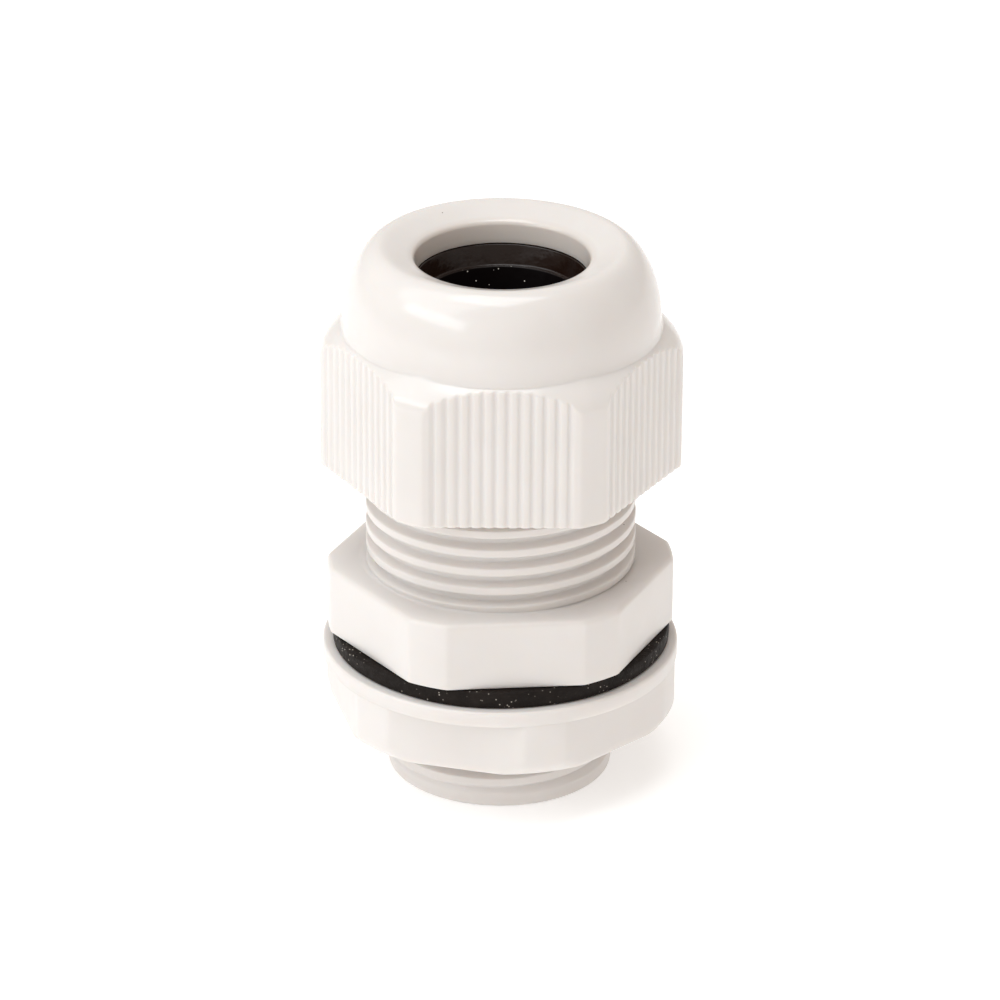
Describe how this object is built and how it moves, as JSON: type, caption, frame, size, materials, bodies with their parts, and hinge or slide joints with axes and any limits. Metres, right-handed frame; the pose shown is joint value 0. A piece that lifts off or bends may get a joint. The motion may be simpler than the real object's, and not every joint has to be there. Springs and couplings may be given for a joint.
{
  "type": "cable gland",
  "caption": "Nylon cable gland: hex body threaded at both ends, ribbed dome nut, rubber seal in a fingered claw, flat gasket and flanged locknut.",
  "frame": {"origin": "centre of the lower end of the entry thread, where the gland stands", "axes": "+Z along the cable passage from the entry end to the dome; two flats of the dome nut face -Y and +Y"},
  "size_m": [0.0248, 0.0246, 0.0388],
  "materials": {
    "nylon_body": "moulded nylon, satin, warm white",
    "nylon_nut": "moulded nylon, polished dome, warm white",
    "nylon_locknut": "moulded nylon, satin, warm white",
    "seal_rubber": "moulded black rubber, glossy lead-in, dusty bore",
    "gasket_rubber": "die-cut black rubber, matte and dusty"
  },
  "bodies": {
    "gland_body": {"gland_body": "nylon_body"},
    "seal": {"seal_insert": "seal_rubber"},
    "dome_nut": {"dome_nut": "nylon_nut"},
    "gasket": {"flat_gasket": "gasket_rubber"},
    "locknut": {"locknut": "nylon_locknut"},
    "finger_1": {"claw_finger_1": "nylon_body"},
    "finger_2": {"claw_finger_2": "nylon_body"},
    "finger_3": {"claw_finger_3": "nylon_body"},
    "finger_4": {"claw_finger_4": "nylon_body"},
    "finger_5": {"claw_finger_5": "nylon_body"},
    "finger_6": {"claw_finger_6": "nylon_body"},
    "finger_7": {"claw_finger_7": "nylon_body"},
    "finger_8": {"claw_finger_8": "nylon_body"},
    "finger_9": {"claw_finger_9": "nylon_body"},
    "finger_10": {"claw_finger_10": "nylon_body"}
  },
  "joints": [
    {"name": "dome_nut_lift", "type": "slide", "parent": "gland_body", "child": "seal", "axis": [0, 0, 1], "range_m": [-0.00388, 0.00212]},
    {"name": "dome_nut_turn", "type": "hinge", "parent": "seal", "child": "dome_nut", "pos_m": [0, 0, 0.03], "axis": [0, 0, 1], "range_deg": [-995, 545]},
    {"name": "locknut_lift", "type": "slide", "parent": "gland_body", "child": "gasket", "axis": [0, 0, 1], "range_m": [-0.00988, 0]},
    {"name": "locknut_turn", "type": "hinge", "parent": "gasket", "child": "locknut", "pos_m": [0, 0, 0.0075], "axis": [0, 0, 1], "range_deg": [-2525, 1]},
    {"name": "finger_1_flex", "type": "hinge", "parent": "gland_body", "child": "finger_1", "pos_m": [0.00224, -0.0069, 0.02512], "axis": [-0.9511, -0.309, 0], "range_deg": [-4.25, 7.8]},
    {"name": "finger_2_flex", "type": "hinge", "parent": "gland_body", "child": "finger_2", "pos_m": [0.00587, -0.00426, 0.02512], "axis": [-0.5878, -0.809, 0], "range_deg": [-4.25, 7.8]},
    {"name": "finger_3_flex", "type": "hinge", "parent": "gland_body", "child": "finger_3", "pos_m": [0.00725, 0, 0.02512], "axis": [0, -1, 0], "range_deg": [-4.25, 7.8]},
    {"name": "finger_4_flex", "type": "hinge", "parent": "gland_body", "child": "finger_4", "pos_m": [0.00587, 0.00426, 0.02512], "axis": [0.5878, -0.809, 0], "range_deg": [-4.25, 7.8]},
    {"name": "finger_5_flex", "type": "hinge", "parent": "gland_body", "child": "finger_5", "pos_m": [0.00224, 0.0069, 0.02512], "axis": [0.9511, -0.309, 0], "range_deg": [-4.25, 7.8]},
    {"name": "finger_6_flex", "type": "hinge", "parent": "gland_body", "child": "finger_6", "pos_m": [-0.00224, 0.0069, 0.02512], "axis": [0.9511, 0.309, 0], "range_deg": [-4.25, 7.8]},
    {"name": "finger_7_flex", "type": "hinge", "parent": "gland_body", "child": "finger_7", "pos_m": [-0.00587, 0.00426, 0.02512], "axis": [0.5878, 0.809, 0], "range_deg": [-4.25, 7.8]},
    {"name": "finger_8_flex", "type": "hinge", "parent": "gland_body", "child": "finger_8", "pos_m": [-0.00725, 0, 0.02512], "axis": [0, 1, 0], "range_deg": [-4.25, 7.8]},
    {"name": "finger_9_flex", "type": "hinge", "parent": "gland_body", "child": "finger_9", "pos_m": [-0.00587, -0.00426, 0.02512], "axis": [-0.5878, 0.809, 0], "range_deg": [-4.25, 7.8]},
    {"name": "finger_10_flex", "type": "hinge", "parent": "gland_body", "child": "finger_10", "pos_m": [-0.00224, -0.0069, 0.02512], "axis": [-0.9511, 0.309, 0], "range_deg": [-4.25, 7.8]}
  ],
  "couplings": [
    {"joint": "dome_nut_turn", "follows": "dome_nut_lift", "rad_per_m": 4453},
    {"joint": "locknut_turn", "follows": "locknut_lift", "rad_per_m": 4453},
    {"joint": "finger_1_flex", "follows": "dome_nut_lift", "rad_per_m": -34.73},
    {"joint": "finger_2_flex", "follows": "dome_nut_lift", "rad_per_m": -34.73},
    {"joint": "finger_3_flex", "follows": "dome_nut_lift", "rad_per_m": -34.73},
    {"joint": "finger_4_flex", "follows": "dome_nut_lift", "rad_per_m": -34.73},
    {"joint": "finger_5_flex", "follows": "dome_nut_lift", "rad_per_m": -34.73},
    {"joint": "finger_6_flex", "follows": "dome_nut_lift", "rad_per_m": -34.73},
    {"joint": "finger_7_flex", "follows": "dome_nut_lift", "rad_per_m": -34.73},
    {"joint": "finger_8_flex", "follows": "dome_nut_lift", "rad_per_m": -34.73},
    {"joint": "finger_9_flex", "follows": "dome_nut_lift", "rad_per_m": -34.73},
    {"joint": "finger_10_flex", "follows": "dome_nut_lift", "rad_per_m": -34.73}
  ]
}
